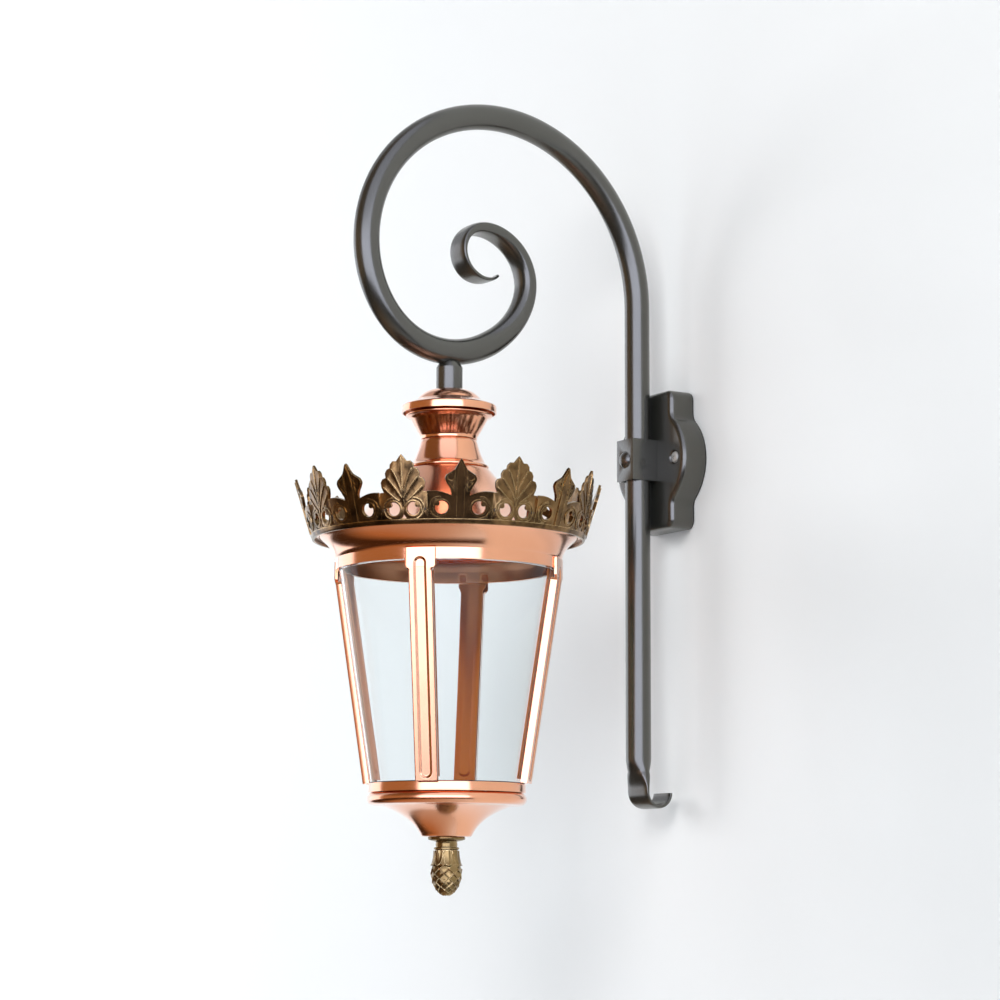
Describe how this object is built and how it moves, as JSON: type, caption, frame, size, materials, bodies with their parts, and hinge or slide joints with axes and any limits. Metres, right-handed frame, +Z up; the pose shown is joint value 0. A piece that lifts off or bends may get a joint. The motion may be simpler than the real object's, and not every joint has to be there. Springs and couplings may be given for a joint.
{
  "type": "wall lantern",
  "caption": "Round tapered glass lantern with a spun copper roof and a cast crown, hung from a scrolled tube bracket on a small wall box.",
  "frame": {"origin": "middle of the two wall screw holes, on the wall plane, level with the clip bolt", "axes": "+Y into the wall, +Z up, +X along the wall; the light stands out towards -Y"},
  "size_m": [0.282, 0.4005, 0.762],
  "materials": {
    "bracket_paint": "satin grey-bronze",
    "copper": "brushed and lacquered copper",
    "crown_bronze": "dark bronze with rubbed edges",
    "finial_brass": "aged brass",
    "glass": "clear",
    "rubber": "matte",
    "white_plastic": "matte",
    "opal": "opal",
    "steel": "plain"
  },
  "bodies": {
    "root": {"scroll_tube": "bracket_paint", "drop_stem": "bracket_paint", "hanger_nipple": "steel", "hanger_disc": "steel", "hanger_nut": "steel", "cap": "copper", "upper_neck": "copper", "lower_neck": "copper", "roof": "copper", "upper_band": "copper", "crown_band": "crown_bronze", "crown_leaf_1": "crown_bronze", "crown_leaf_2": "crown_bronze", "crown_leaf_3": "crown_bronze", "crown_leaf_4": "crown_bronze", "crown_leaf_5": "crown_bronze", "crown_leaf_6": "crown_bronze", "crown_leaf_7": "crown_bronze", "crown_leaf_8": "crown_bronze", "crown_spear_1": "crown_bronze", "crown_spear_2": "crown_bronze", "crown_spear_3": "crown_bronze", "crown_spear_4": "crown_bronze", "crown_spear_5": "crown_bronze", "crown_spear_6": "crown_bronze", "crown_spear_7": "crown_bronze", "crown_spear_8": "crown_bronze", "crown_rivets": "crown_bronze", "upright_1": "copper", "upright_2": "copper", "upright_3": "copper", "upright_4": "copper", "upright_rivets": "copper", "glass_pane_1": "glass", "glass_pane_2": "glass", "glass_pane_3": "glass", "glass_pane_4": "glass", "glass_seat": "rubber", "glazing_bar_1": "copper", "glazing_bar_2": "copper", "glazing_bar_3": "copper", "glazing_bar_4": "copper", "base_band": "copper", "base_bowl": "copper", "base_screws": "steel", "finial": "finial_brass", "finial_stud": "steel", "finial_nut": "steel", "gear_plate": "steel", "gear_screws": "steel", "led_board": "white_plastic", "led_lens": "opal", "led_driver": "white_plastic", "wall_plate": "steel", "wall_cover": "bracket_paint", "cover_gasket": "rubber", "tube_clip": "bracket_paint", "clip_bolt": "bracket_paint", "cover_screws": "steel", "terminal_block": "white_plastic"}
  },
  "joints": []
}
